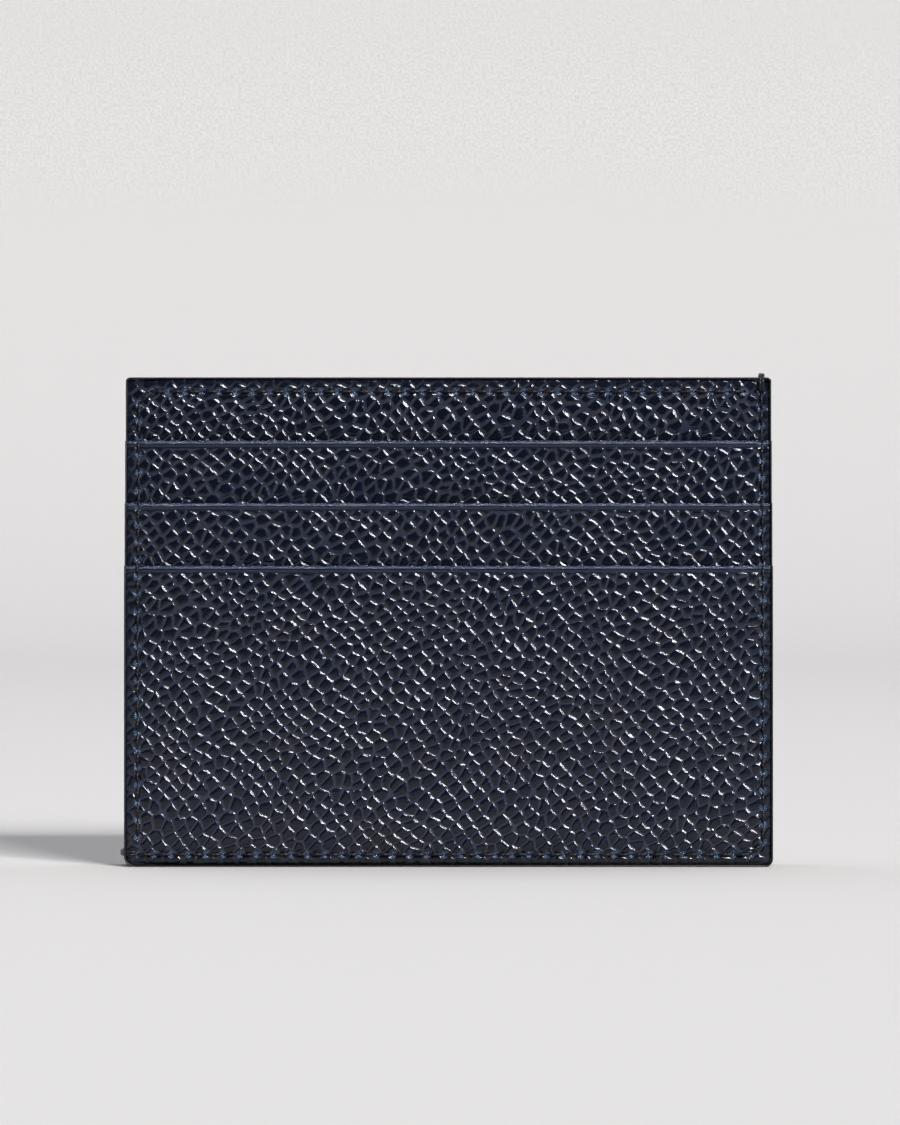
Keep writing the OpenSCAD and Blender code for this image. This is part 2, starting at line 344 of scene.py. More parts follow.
def pebbleHeight(tree, edge, cell, crisp):
    # 0 in a furrow and 1 on top of a pebble. The crisp one is a bowed bevel round a flat top, so that
    # each shoulder glints somewhere. The soft one is for the mesh
    if crisp:
        down = addNode(tree, "ShaderNodeMapRange", {0: edge, 1: grain["floor"],
                                                    2: grain["floor"] + grain["shoulder"], 3: 1.0, 4: 0.0})
        steeper = addNode(tree, "ShaderNodeMath", {0: down.outputs[0], 1: 1 - grain["bevel"],
                                                   2: grain["bevel"]}, operation="MULTIPLY_ADD").outputs[0]
        bowed = addNode(tree, "ShaderNodeMath", {0: down.outputs[0], 1: steeper},
                        operation="MULTIPLY").outputs[0]
        slope = addNode(tree, "ShaderNodeMath", {0: 1.0, 1: bowed}, operation="SUBTRACT").outputs[0]
    else:
        slope = addNode(tree, "ShaderNodeMapRange", {0: edge, 1: 0.0, 2: 0.32, 3: 0.0, 4: 1.0},
                        **smoothly).outputs[0]
    lift = addNode(tree, "ShaderNodeSeparateXYZ", {0: cell}).outputs[0]
    rise = addNode(tree, "ShaderNodeMapRange", {0: lift, 1: 0.0, 2: 1.0, 3: 0.8, 4: 1.0}).outputs[0]
    return addNode(tree, "ShaderNodeMath", {0: slope, 1: rise}, operation="MULTIPLY").outputs[0]


def leatherMaterial(name, shift, mouth, tone, crispness, foot):
    # Full-grain cow leather, embossed in pebbles, drum dyed and sprayed with a satin pigment coat.
    # The eye gets nearly black navy pebbles with a small hard glint on the shoulder that meets the
    # light, and duller furrows between them whose paler colour is painted sheen for the bright room that the
    # furrow walls mirror.
    made, tree, shader, place = newMaterial(name)
    edge, cell, inMm = pebbleField(tree, place, shift)
    height = pebbleHeight(tree, edge, cell, True)
    needled = addNode(tree, "ShaderNodeAttribute", attribute_name="needled").outputs["Fac"]
    calm = addNode(tree, "ShaderNodeAttribute", attribute_name="calm").outputs["Fac"]

    # painted sheen: the furrows get a paler colour for the room light their walls mirror; beside pressed
    # edges the same pale colour is wear
    furrow = addNode(tree, "ShaderNodeMapRange", {0: edge, 1: 0.04, 2: 0.15, 3: 1.0, 4: 0.0},
                     **smoothly).outputs[0]
    blotch = addNode(tree, "ShaderNodeTexNoise", {"Vector": inMm, "Scale": 0.16, "Detail": 2.0},
                     noise_dimensions="2D").outputs["Fac"]
    speck = addNode(tree, "ShaderNodeTexNoise", {"Vector": inMm, "Scale": 5.5, "Detail": 3.0,
                                                 "Roughness": 0.65}, noise_dimensions="2D").outputs["Fac"]
    standing = addNode(tree, "ShaderNodeMath", {0: 1.0, 1: calm}, operation="SUBTRACT").outputs[0]
    inFurrow = addNode(tree, "ShaderNodeMath", {0: furrow, 1: standing}, operation="MULTIPLY").outputs[0]
    worn = addNode(tree, "ShaderNodeMath", {0: calm, 1: 0.15}, operation="MULTIPLY").outputs[0]
    pale = addNode(tree, "ShaderNodeMath", {0: inFurrow, 1: worn}, operation="MAXIMUM").outputs[0]
    patchy = addNode(tree, "ShaderNodeMapRange", {0: blotch, 1: 0.3, 2: 0.7, 3: 0.75, 4: 1.15}).outputs[0]
    specky = addNode(tree, "ShaderNodeMapRange", {0: speck, 1: 0.3, 2: 0.7, 3: 0.6, 4: 1.4}).outputs[0]
    paleness = addNode(tree, "ShaderNodeMath", {0: pale, 1: patchy}, operation="MULTIPLY").outputs[0]
    sheenAndWearSpeck = addNode(tree, "ShaderNodeMath", {0: paleness, 1: specky}, operation="MULTIPLY",
                        use_clamp=True).outputs[0]
    warmth = addNode(tree, "ShaderNodeMapRange", {0: blotch, 1: 0.42, 2: 0.62, 3: 0.0, 4: 0.7}).outputs[0]
    # the furrows' painted sheen colour, warmer in random patches
    furrowSheenColour = addNode(tree, "ShaderNodeMix", {0: warmth, 6: linear(tone["furrow"]),
                                           7: linear(tone["warmFurrow"])}, data_type="RGBA").outputs[2]
    colour = addNode(tree, "ShaderNodeMix", {0: sheenAndWearSpeck, 6: linear(tone["top"]), 7: furrowSheenColour},
                     data_type="RGBA").outputs[2]
    high = addNode(tree, "ShaderNodeSeparateXYZ", {0: place}).outputs["Z"]
    if foot is not None:
        # the edge paint laps onto the rolled bottom rim
        above = addNode(tree, "ShaderNodeMath", {0: high, 1: 1000.0, 2: -foot * 1000},
                        operation="MULTIPLY_ADD").outputs[0]
        uneven = addNode(tree, "ShaderNodeMath", {0: speck, 1: tone["ragged"], 2: above},
                         operation="MULTIPLY_ADD").outputs[0]
        lapped = addNode(tree, "ShaderNodeMapRange", {0: uneven, 1: tone["paintLap"],
                                                      2: tone["paintLap"] + 0.08, 3: 1.0, 4: 0.0}).outputs[0]
        colour = addNode(tree, "ShaderNodeMix", {0: lapped, 6: colour, 7: linear("#040508")},
                         data_type="RGBA").outputs[2]
    # painted glints: pale blue specks round each needle hole stand in for the sparkle of light on the
    # puckered leather there
    needleGlintSpeck = addNode(tree, "ShaderNodeMapRange", {0: speck, 1: 0.50, 2: 0.58, 3: 0.0, 4: 0.9}).outputs[0]
    needleGlintMask = addNode(tree, "ShaderNodeMath", {0: needleGlintSpeck, 1: needled}, operation="MULTIPLY").outputs[0]
    colour = addNode(tree, "ShaderNodeMix", {0: needleGlintMask, 6: colour, 7: linear(tone["fibre"])},
                     data_type="RGBA").outputs[2]
    ragged = None
    if mouth is not None:
        # painted black on the very edge; then a pale blue band on the rim, a painted highlight for the light
        # its rounded top catches; then a paler grey band on the creased line, painted sheen for the light on
        # its up-facing side
        below = addNode(tree, "ShaderNodeMath", {0: high, 1: -1000.0, 2: mouth * 1000},
                        operation="MULTIPLY_ADD").outputs[0]
        ragged = addNode(tree, "ShaderNodeMath", {0: speck, 1: tone["ragged"], 2: below},
                         operation="MULTIPLY_ADD").outputs[0]
        halfRagged = tone["ragged"] / 2
        for start, full, end, paint, strength in tone["mouthBands"]:
            rise = addNode(tree, "ShaderNodeMapRange", {0: ragged, 1: start + halfRagged,
                                                        2: full + halfRagged, 3: 0.0,
                                                        4: strength}).outputs[0]
            fall = addNode(tree, "ShaderNodeMapRange", {0: ragged, 1: end + halfRagged,
                                                        2: end + halfRagged + tone["bandFade"],
                                                        3: 1.0, 4: 0.0}).outputs[0]
            band = addNode(tree, "ShaderNodeMath", {0: rise, 1: fall}, operation="MULTIPLY").outputs[0]
            colour = addNode(tree, "ShaderNodeMix", {0: band, 6: colour, 7: linear(paint)},
                             data_type="RGBA").outputs[2]
    tree.links.new(colour, shader.inputs["Base Color"])

    rough = addNode(tree, "ShaderNodeMapRange", {0: sheenAndWearSpeck, 1: 0.0, 2: 1.0, 3: tone["topRough"],
                                                 4: tone["furrowRough"]}).outputs[0]
    tree.links.new(rough, shader.inputs["Roughness"])
    setSockets(shader, {"IOR": 1.5, "Specular IOR Level": tone["specular"],
                        "Specular Tint": linear(tone["gloss"]), "Coat Weight": tone["coat"],
                        "Coat Roughness": tone["coatRough"], "Coat IOR": tone["coatIor"]})

    # bump: the crisp part of the pebbles, fine wrinkles on their tops, and hair pores
    wrinkle = addNode(tree, "ShaderNodeTexNoise", {"Vector": inMm, "Scale": 3.2, "Detail": 4.0,
                                                   "Roughness": 0.6, "Distortion": 0.4},
                      noise_dimensions="2D").outputs["Fac"]
    raised = addNode(tree, "ShaderNodeMath", {0: height, 1: standing}, operation="MULTIPLY").outputs[0]
    crisp = addNode(tree, "ShaderNodeBump", {"Strength": 1.0, "Distance": mm(tone["crisp"] * crispness),
                                             "Height": raised}).outputs[0]
    fine = addNode(tree, "ShaderNodeBump", {"Strength": 1.0, "Distance": mm(tone["wrinkle"]),
                                            "Height": wrinkle, "Normal": crisp}).outputs[0]
    # the leather is torn and puckered round each needle hole, and rubbed uneven on the mouth's rim
    torn = addNode(tree, "ShaderNodeMath", {0: needled, 1: mm(tone["torn"]), 2: mm(tone["fine"])},
                   operation="MULTIPLY_ADD").outputs[0]
    if ragged is not None:
        rubbed = addNode(tree, "ShaderNodeMapRange", {0: ragged, 1: halfRagged + 0.45, 2: halfRagged + 0.55,
                                                      3: mm(tone["rubbed"]), 4: 0.0}).outputs[0]
        torn = addNode(tree, "ShaderNodeMath", {0: torn, 1: rubbed}, operation="ADD").outputs[0]
    finest = addNode(tree, "ShaderNodeBump", {"Strength": 1.0, "Distance": torn, "Height": speck,
                                              "Normal": fine}).outputs[0]
    tree.links.new(finest, shader.inputs["Normal"])
    tree.links.new(finest, shader.inputs["Coat Normal"])
    return made


leatherTone = {
    "top": "#060a13",
    # the furrow colours are paler than the tops: painted sheen for the room light the furrow walls mirror
    "furrow": "#262d3b",
    "warmFurrow": "#2b2a2e",
    "specular": 0.1,
    "gloss": "#7f9cff",  # the dye shows through the base coat's own shine
    "topRough": 0.48,
    "furrowRough": 0.60,
    "coat": 1.0,
    "coatIor": 1.43,
    "coatRough": 0.15,
    "crisp": 0.18,      # mm
    "wrinkle": 0.012,
    "fine": 0.008,
    "torn": 0.14,
    "rubbed": 0.09,
    "bandFade": 0.12,
    # colour of the painted glints round the needle holes
    "fibre": "#6b86a8",
    "paintLap": 0.55,   # mm
    "ragged": 0.16,     # mm that the bands along a mouth waver
    # mm below the mouth where a band starts, is full and ends, its colour and strength: black edge paint,
    # the rim's painted highlight, and the crease line's painted sheen
    "mouthBands": [(-0.5, -0.4, 0.16, "#020305", 0.9), (0.16, 0.24, 0.38, "#34405c", 0.85),
                   (0.62, 0.74, 0.94, "#262a34", 0.9)],
}


pull = {
    # mm from the stitch row or the needle hole where it is full and where it ends, and its strength
    "trough": (0.1, 0.7, mm(0.07)),
    "dip": (0.0, 0.55, mm(0.20)),
    "pressed": (0.2, 0.9, 0.45),
    "pucker": (0.25, 0.75, 1.0),
}


def reliefTree(name, spec, seam):
    # geometry nodes that round the corners, press the grain, pinch the margins and sink the seam
    tree = bpy.data.node_groups.new(name, "GeometryNodeTree")
    tree.interface.new_socket("Geometry", in_out="INPUT", socket_type="NodeSocketGeometry")
    tree.interface.new_socket("Geometry", in_out="OUTPUT", socket_type="NodeSocketGeometry")
    start = addNode(tree, "NodeGroupInput").outputs[0]
    side = spec["facing"]

    # round the outer corners: the corner's square is drawn in to its arc
    shaped = start
    for cornerX, cornerZ, radius in spec["corners"]:
        place = addNode(tree, "GeometryNodeInputPosition").outputs[0]
        away = addNode(tree, "ShaderNodeVectorMath", {0: place, 1: (cornerX, 0, cornerZ)},
                       operation="SUBTRACT").outputs[0]
        apart = addNode(tree, "ShaderNodeSeparateXYZ", {0: away})
        inward = {"X": -1 if cornerX > 0 else 1, "Z": -1 if cornerZ > topZ / 2 else 1}
        # both run from 0 at the arc's centre to -1 at the outline
        u, v = [addNode(tree, "ShaderNodeMath", {0: apart.outputs[axis], 1: inward[axis] / radius, 2: -1.0},
                        operation="MULTIPLY_ADD").outputs[0] for axis in ("X", "Z")]
        least, most = [addNode(tree, "ShaderNodeMath", {0: u, 1: v}, operation=kind).outputs[0]
                       for kind in ("MINIMUM", "MAXIMUM")]
        inCorner = addNode(tree, "ShaderNodeMath", {0: most, 1: -0.001}, operation="LESS_THAN").outputs[0]
        uv = addNode(tree, "ShaderNodeCombineXYZ", {"X": u, "Y": v}).outputs[0]
        far = addNode(tree, "ShaderNodeVectorMath", {0: uv}, operation="LENGTH").outputs["Value"]
        share = addNode(tree, "ShaderNodeMath", {0: least, 1: far}, operation="DIVIDE").outputs[0]
        # the point moves by this many times its vector from the arc's centre
        draw = addNode(tree, "ShaderNodeMath", {0: share, 1: -1.0, 2: -1.0},
                       operation="MULTIPLY_ADD").outputs[0]
        moves = {}
        for axis, along in (("X", u), ("Z", v)):
            drawn = addNode(tree, "ShaderNodeMath", {0: along, 1: draw}, operation="MULTIPLY").outputs[0]
            moves[axis] = addNode(tree, "ShaderNodeMath", {0: drawn, 1: inward[axis] * radius},
                                  operation="MULTIPLY").outputs[0]
        move = addNode(tree, "ShaderNodeCombineXYZ", moves).outputs[0]
        shaped = addNode(tree, "GeometryNodeSetPosition", {"Geometry": shaped, "Selection": inCorner,
                                                           "Offset": move}).outputs[0]

    place = addNode(tree, "GeometryNodeInputPosition").outputs[0]
    apart = addNode(tree, "ShaderNodeSeparateXYZ", {0: place})
    edge, cell, inMm = pebbleField(tree, place, spec["shift"])
    height = pebbleHeight(tree, edge, cell, False)

    def beside(axis, at, flat, over, strength):
        # strength on a line, fading to nothing beside it
        off = addNode(tree, "ShaderNodeMath", {0: apart.outputs[axis], 1: at},
                      operation="SUBTRACT").outputs[0]
        gap = addNode(tree, "ShaderNodeMath", {0: off}, operation="ABSOLUTE").outputs[0]
        return addNode(tree, "ShaderNodeMapRange", {0: gap, 1: flat, 2: flat + over, 3: strength, 4: 0.0},
                       **smoothly).outputs[0]

    calm = 0.0  # 1 where the grain is pressed flat, and 0 where it stands full
    for line in spec["calmLines"]:
        calm = addNode(tree, "ShaderNodeMath", {0: calm, 1: beside(*line)}, operation="MAXIMUM").outputs[0]
    sink = 0.0
    for axis, at, halfWidth, depth in spec["grooves"]:
        sink = addNode(tree, "ShaderNodeMath", {0: sink, 1: beside(axis, at, 0.0, halfWidth, depth)},
                       operation="ADD").outputs[0]
    if seam is not None:
        line = addNode(tree, "GeometryNodeObjectInfo", {"Object": seam}).outputs["Geometry"]
        onPlane = addNode(tree, "ShaderNodeCombineXYZ", {axis: apart.outputs[axis] for axis in ("X", "Z")})
        row, hole = [addNode(tree, "GeometryNodeProximity",
                             {"Geometry": line, "Sample Position": onPlane.outputs[0]},
                             target_element=kind).outputs["Distance"] for kind in ("EDGES", "POINTS")]
        trough, dip, near, pucker = [
            addNode(tree, "ShaderNodeMapRange", {0: source, 1: mm(start), 2: mm(end), 3: strength, 4: 0.0},
                    **smoothly).outputs[0]
            for source, (start, end, strength) in ((row, pull["trough"]), (hole, pull["dip"]),
                                                   (row, pull["pressed"]), (hole, pull["pucker"]))]
        calm = addNode(tree, "ShaderNodeMath", {0: calm, 1: near}, operation="MAXIMUM").outputs[0]
        shaped = addNode(tree, "GeometryNodeStoreNamedAttribute", {"Geometry": shaped, "Name": "needled",
                                                                   "Value": pucker},
                         data_type="FLOAT", domain="POINT").outputs[0]
        both = addNode(tree, "ShaderNodeMath", {0: trough, 1: dip}, operation="ADD").outputs[0]
        sink = addNode(tree, "ShaderNodeMath", {0: sink, 1: both}, operation="ADD").outputs[0]

    stored = addNode(tree, "GeometryNodeStoreNamedAttribute", {"Geometry": shaped, "Name": "calm",
                                                               "Value": calm},
                     data_type="FLOAT", domain="POINT").outputs[0]
    low = addNode(tree, "ShaderNodeMath", {0: 1.0, 1: height}, operation="SUBTRACT").outputs[0]
    full = addNode(tree, "ShaderNodeMapRange", {0: calm, 1: 0.0, 2: 1.0, 3: mm(grain["relief"]),
                                                4: mm(0.02)}).outputs[0]
    furrowed = addNode(tree, "ShaderNodeMath", {0: low, 1: full}, operation="MULTIPLY").outputs[0]
    deep = addNode(tree, "ShaderNodeMath", {0: furrowed, 1: sink}, operation="ADD").outputs[0]
    inward = addNode(tree, "ShaderNodeMath", {0: deep, 1: float(side)}, operation="MULTIPLY").outputs[0]
    offset = addNode(tree, "ShaderNodeCombineXYZ", {"Y": inward}).outputs[0]
    done = addNode(tree, "GeometryNodeSetPosition", {"Geometry": stored, "Offset": offset}).outputs[0]
    addNode(tree, "NodeGroupOutput", {0: done})
    return tree


def leatherPanel(name, node, spec, material, seam):
    low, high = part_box(node)
    side = spec["facing"]
    faceY = low.y if side > 0 else high.y
    backY = high.y if side > 0 else low.y
    bottom = mm(spec["denseFrom"]) if spec["denseFrom"] is not None else low.z
    wide = high.x - low.x
    tall = high.z - bottom
    columns = round(wide / mm(spec["cell"]))
    rows = round(tall / mm(spec["cell"]))
    deselectAll()
    bpy.ops.mesh.primitive_grid_add(x_subdivisions=columns, y_subdivisions=rows, size=1,
                                    location=((low.x + high.x) / 2, faceY, bottom + tall / 2),
                                    rotation=(math.radians(90 * side), 0, 0), scale=(wide, tall, 1))
    panel = bpy.context.object
    panel.scale = (wide, tall, 1)
    bpy.ops.object.transform_apply(location=True, rotation=True, scale=True)
    if spec["denseFrom"] is not None:
        # the part that the pocket in front hides is one row of long faces
        selectWhere(panel, "EDGE", lambda e: max(v.co.z for v in e.verts) < bottom + 1e-6)
        bpy.ops.mesh.extrude_region_move(TRANSFORM_OT_translate={"value": (0, 0, low.z - bottom)})
        bpy.ops.object.mode_set(mode="OBJECT")
    modifier = panel.modifiers.new("relief", "NODES")
    modifier.node_group = reliefTree(name + "_relief", spec, seam)
    bpy.ops.object.modifier_apply(modifier="relief")
    # the thickness, a flat back, and rounded rims
    bpy.ops.object.mode_set(mode="EDIT")
    bpy.ops.mesh.select_mode(type="EDGE")
    bpy.ops.mesh.select_all(action="DESELECT")
    bpy.ops.mesh.select_non_manifold()
    bpy.ops.mesh.extrude_region_move(TRANSFORM_OT_translate={"value": (0, side * mm(0.4), 0)})
    bpy.ops.transform.resize(value=(1, 0, 1), center_override=(0, backY, 0))
    bpy.ops.mesh.edge_face_add()
    mergeDoubles(2e-7)
    finishPiece(panel, name, material, [node], smooth=50)
    print(name, len(panel.data.polygons), "faces")
    return panel


def islands(node):
    # the points of each of a CAD node's separate solids
    mesh = bmesh.new()
    mesh.from_mesh(nodes[node].data)
    bmesh.ops.remove_doubles(mesh, verts=mesh.verts, dist=1e-6)
    left = set(mesh.verts)
    found = []
    while left:
        reachNow = [left.pop()]
        group = []
        while reachNow:
            vert = reachNow.pop()
            group.append(vert.co.copy())
            for e in vert.link_edges:
                other = e.other_vert(vert)
                if other in left:
                    left.remove(other)
                    reachNow.append(other)
        found.append(group)
    mesh.free()
    return found


def stitchLines(node, facing):
    # middle, direction, length and face level of each CAD stitch
    lines = []
    for group in islands(node):
        xs = [p.x for p in group]
        zs = [p.z for p in group]
        middle = ((min(xs) + max(xs)) / 2, (min(zs) + max(zs)) / 2)
        wide, tall = max(xs) - min(xs), max(zs) - min(zs)
        if wide > 3 * tall:
            way, long = (1, 0), wide
        elif tall > 3 * wide:
            way, long = (0, 1), tall
        else:
            a, b = max(((p, q) for p in group for q in group), key=lambda pq: (pq[0] - pq[1]).xz.length)
            long = (b - a).xz.length
            rising = 1 if (b.x - a.x) * (b.z - a.z) > 0 else -1
            way = (wide / math.hypot(wide, tall), rising * tall / math.hypot(wide, tall))
        ys = [p.y for p in group]
        lines.append((middle, way, long, max(ys) if facing > 0 else min(ys)))
    return lines


def seamObject(name, rows):
    # a line of vertices at the needle holes, which the relief measures its distance from
    points = []
    edges = []
    for node in rows:
        for (x, z), (wayX, wayZ), long, faceY in stitchLines(node, 1):
            half = long / 2 + mm(0.15)
            points.append((x - wayX * half, 0, z - wayZ * half))
            points.append((x + wayX * half, 0, z + wayZ * half))
            edges.append((len(points) - 2, len(points) - 1))
    mesh = bpy.data.meshes.new(name)
    mesh.from_pydata(points, edges, [])
    line = bpy.data.objects.new(name, mesh)
    scene.collection.objects.link(line)
    return line


frontSeam = seamObject("front_seam_line", ["front_half_stitching", "closing_seam_front"])
backSeam = seamObject("back_seam_line", ["back_half_stitching", "closing_seam_back"])
print("seam lines measured")


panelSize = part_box("divider_panel")
leftX, rightX = panelSize[0].x, panelSize[1].x
bottomZ, topZ = panelSize[0].z, panelSize[1].z
mouths = {name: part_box(node)[1].z for name, node in
          (("upper", "upper_pocket_strip"), ("middle", "middle_pocket_strip"), ("front", "front_pocket"))}

corners = {
    "top": 0.45,        # mm, round the leather inside the paint
    "open": 1.35,
    "closed": 0.95,
}

mouthCrease = {
    "below": 0.85,      # mm from the mouth to the creased line
    "half": 0.26,
    "depth": 0.08,
    "smooth": 1.05,     # mm below the mouth that stay free of grain
    "rim": 0.24,        # mm that the mouth's rim is rounded back
    "rimOver": 0.50,
}

margins = {
    "flat": 0.5,        # mm beside an edge where the grain is pressed
    "fade": 1.0,
    "pressed": 0.65,
    "round": 0.35,      # mm over which an edge is rounded
    "back": 0.14,
    "pinch": 0.25,      # mm that the sewn sides are pressed in
    "pinchOver": 7.0,
}


def sideLines(xs, zs):
    # pressed grain, rounded edges and pinched margins beside these sides
    calm = [(axis, at, mm(margins["flat"]), mm(margins["fade"]), margins["pressed"])
            for axis, places in (("X", xs), ("Z", zs)) for at in places]
    groove = [(axis, at, mm(margins["round"]), mm(margins["back"]))
              for axis, places in (("X", xs), ("Z", zs)) for at in places]
    groove += [(axis, at, mm(margins["pinchOver"]), mm(margins["pinch"]))
               for axis, places in (("X", xs), ("Z", zs)) for at in places]
    return calm, groove


def mouthLines(mouth):
    calm = [("Z", mouth, mm(mouthCrease["smooth"]), mm(0.35), 0.97)]
    groove = [("Z", mouth - mm(mouthCrease["below"]), mm(mouthCrease["half"]), mm(mouthCrease["depth"])),
              ("Z", mouth, mm(mouthCrease["rimOver"]), mm(mouthCrease["rim"]))]
    return calm, groove


topCorners = [(leftX, topZ, mm(corners["top"])), (rightX, topZ, mm(corners["top"]))]
bottomCorners = [(leftX, bottomZ, mm(corners["open"])), (rightX, bottomZ, mm(corners["closed"]))]

leathers = {
    # node, way it faces, where its fine grid starts, grid, place in the grain, corners, sides, mouth,
    # and how crisp its pebbles are, as the narrow pockets are pressed flatter
    "leather_divider": ("divider_panel", 1, 63.5, 0.22, (11.0, 4.0, 0.0), topCorners, [topZ], None, 1.0),
    "leather_upper_pocket": ("upper_pocket_strip", 1, 54.5, 0.22, (37.0, 2.0, 0.0), [], [], "upper", 0.75),
    "leather_middle_pocket": ("middle_pocket_strip", 1, 44.8, 0.22, (5.0, 47.0, 0.0), [], [], "middle",
                              0.75),
    "leather_front_pocket": ("front_pocket", 1, None, 0.25, (71.0, 23.0, 0.0), bottomCorners, [bottomZ],
                             "front", 1.0),
    "leather_back": ("back_panel", -1, None, 0.30, (103.0, 61.0, 0.0), topCorners + bottomCorners,
                     [topZ, bottomZ], None, 1.0),
}

for pieceName, (node, facing, denseFrom, cell, shift, rounded, sides, mouth, crispness) in leathers.items():
    calmLines, grooves = sideLines([leftX, rightX], sides)
    if mouth:
        mouthCalm, mouthGrooves = mouthLines(mouths[mouth])
        calmLines += mouthCalm
        grooves += mouthGrooves
    spec = {"facing": facing, "denseFrom": denseFrom, "cell": cell, "shift": shift, "corners": rounded,
            "calmLines": calmLines, "grooves": grooves}
    if pieceName == "leather_front_pocket":
        grooves.append(("Z", bottomZ, mm(0.9), mm(0.2)))  # the edge rolls under
    material = leatherMaterial("pebbled_cow_leather_" + pieceName[8:], shift, mouths.get(mouth), leatherTone,
                               crispness, bottomZ if bottomZ in sides else None)
    leatherPanel(pieceName, node, spec, material, frontSeam if facing > 0 else backSeam)

bpy.data.objects.remove(frontSeam)
bpy.data.objects.remove(backSeam)
print("leather made")


threadSize = {
    "thick": 0.46,      # mm across
    "flat": 0.74,       # the two plies make it less thick one way
    "turns": 1.5,       # half turns of the plies in one stitch
    "sunk": 0.10,       # mm that its middle lies below the flat face that the leather is pinched from
    "dive": 0.42,       # mm that its ends dip into the needle holes
    "step": 0.9,        # mm past a mouth where a crossing stitch is down on the leather behind
    "sides": 8,
    "rings": 7,
}


def threadMaterial():
    # Bonded polyester thread, two plies, waxed: nearly black navy with small pale glints on the ply
    made, tree, shader, place = newMaterial("bonded_polyester_thread")
    fuzz = addNode(tree, "ShaderNodeTexNoise", {"Vector": place, "Scale": 9000.0, "Detail": 3.0})
    colour = addNode(tree, "ShaderNodeMix", {0: fuzz.outputs["Fac"], 6: linear("#020306"),
                                             7: linear("#0a0d16")}, data_type="RGBA").outputs[2]
    tree.links.new(colour, shader.inputs["Base Color"])
    setSockets(shader, {"Roughness": 0.42, "IOR": 1.45})
    ply = addNode(tree, "ShaderNodeTexWave", {"Vector": place, "Scale": 900.0, "Distortion": 1.5,
                                              "Detail": 1.0}, bands_direction="DIAGONAL").outputs["Fac"]
    twist = addNode(tree, "ShaderNodeBump", {"Strength": 1.0, "Distance": mm(0.05), "Height": ply})
    hairs = addNode(tree, "ShaderNodeBump", {"Strength": 1.0, "Distance": mm(0.03),
                                             "Height": fuzz.outputs["Fac"], "Normal": twist.outputs[0]})
    tree.links.new(hairs.outputs[0], shader.inputs["Normal"])
    return made


threadLook = threadMaterial()


def modelStitch(long):
    # one stitch along X, its middle at the origin, bulging towards -Y
    deselectAll()
    radius = mm(threadSize["thick"] / 2)
    bpy.ops.mesh.primitive_cylinder_add(vertices=threadSize["sides"], radius=radius, depth=long,
                                        rotation=(0, math.radians(90), 0))
    stitch = bpy.context.object
    bpy.ops.object.transform_apply(location=True, rotation=True, scale=True)
    rings = threadSize["rings"]
    bpy.ops.object.mode_set(mode="EDIT")
    for ring in range(1, rings - 1):
        bpy.ops.mesh.select_all(action="SELECT")
        bpy.ops.mesh.bisect(plane_co=(long * (ring / (rings - 1) - 0.5), 0, 0), plane_no=(1, 0, 0))
    for ring in range(rings):
        at = long * (ring / (rings - 1) - 0.5)
        out = abs(2 * ring / (rings - 1) - 1)
        selectWhere(stitch, "VERT", lambda v: abs(v.co.x - at) < long * 0.02)
        slim = 1 - 0.62 * out ** 3
        bpy.ops.transform.resize(value=(1, slim * threadSize["flat"], slim), center_override=(at, 0, 0))
        bpy.ops.transform.rotate(value=math.pi * threadSize["turns"] * ring / (rings - 1), orient_axis="X",
                                 center_override=(at, 0, 0))
        bpy.ops.transform.translate(value=(0, mm(threadSize["dive"]) * out ** 3, 0))
    bpy.ops.object.mode_set(mode="OBJECT")
    return stitch


def stepDown(mesh, low, high):
    # a stitch that crosses a mouth bends over its rim, down to the leather behind
    faces = [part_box(node)[0].y for node in
             ("front_pocket", "middle_pocket_strip", "upper_pocket_strip", "divider_panel")]
    for number, mouth in enumerate((mouths["front"], mouths["middle"], mouths["upper"])):
        if low < mouth < high:
            for vertex in mesh.vertices:
                share = min(max((vertex.co.z - mouth) / mm(threadSize["step"]), 0), 1)
                vertex.co.y += (faces[number + 1] - faces[number]) * share * share * (3 - 2 * share)


def sewRow(name, node, facing):
    # copies one stitch to each place of the CAD row
    copies = []
    kinds = {}
    for (x, z), (wayX, wayZ), long, faceY in stitchLines(node, facing):
        kind = round(long, 5)
        if kind not in kinds:
            kinds[kind] = modelStitch(long + mm(0.22))
        angle = math.atan2(wayZ, wayX)
        copy = kinds[kind].copy()
        copy.data = kinds[kind].data.copy()
        scene.collection.objects.link(copy)
        turn = Matrix.Rotation(-angle, 4, "Y")
        if facing < 0:
            turn = turn @ Matrix.Rotation(math.pi, 4, "X")
        copy.data.transform(Matrix.Translation((x, faceY + facing * mm(threadSize["sunk"]), z)) @ turn)
        if facing > 0:
            stepDown(copy.data, z - abs(wayZ) * long / 2, z + abs(wayZ) * long / 2)
        copies.append(copy)
    for original in kinds.values():
        bpy.data.objects.remove(original)
    finishPiece(joinPieces(copies), name, threadLook, [node], smooth=60)
    print(name, len(copies), "stitches")


sewRow("stitches_front_half", "front_half_stitching", 1)
sewRow("stitches_closing_front", "closing_seam_front", 1)
sewRow("stitches_back_half", "back_half_stitching", -1)
sewRow("stitches_closing_back", "closing_seam_back", -1)
sewRow("stitches_upper_hem", "upper_hem_stitching", 1)
sewRow("stitches_middle_hem", "middle_hem_stitching", 1)


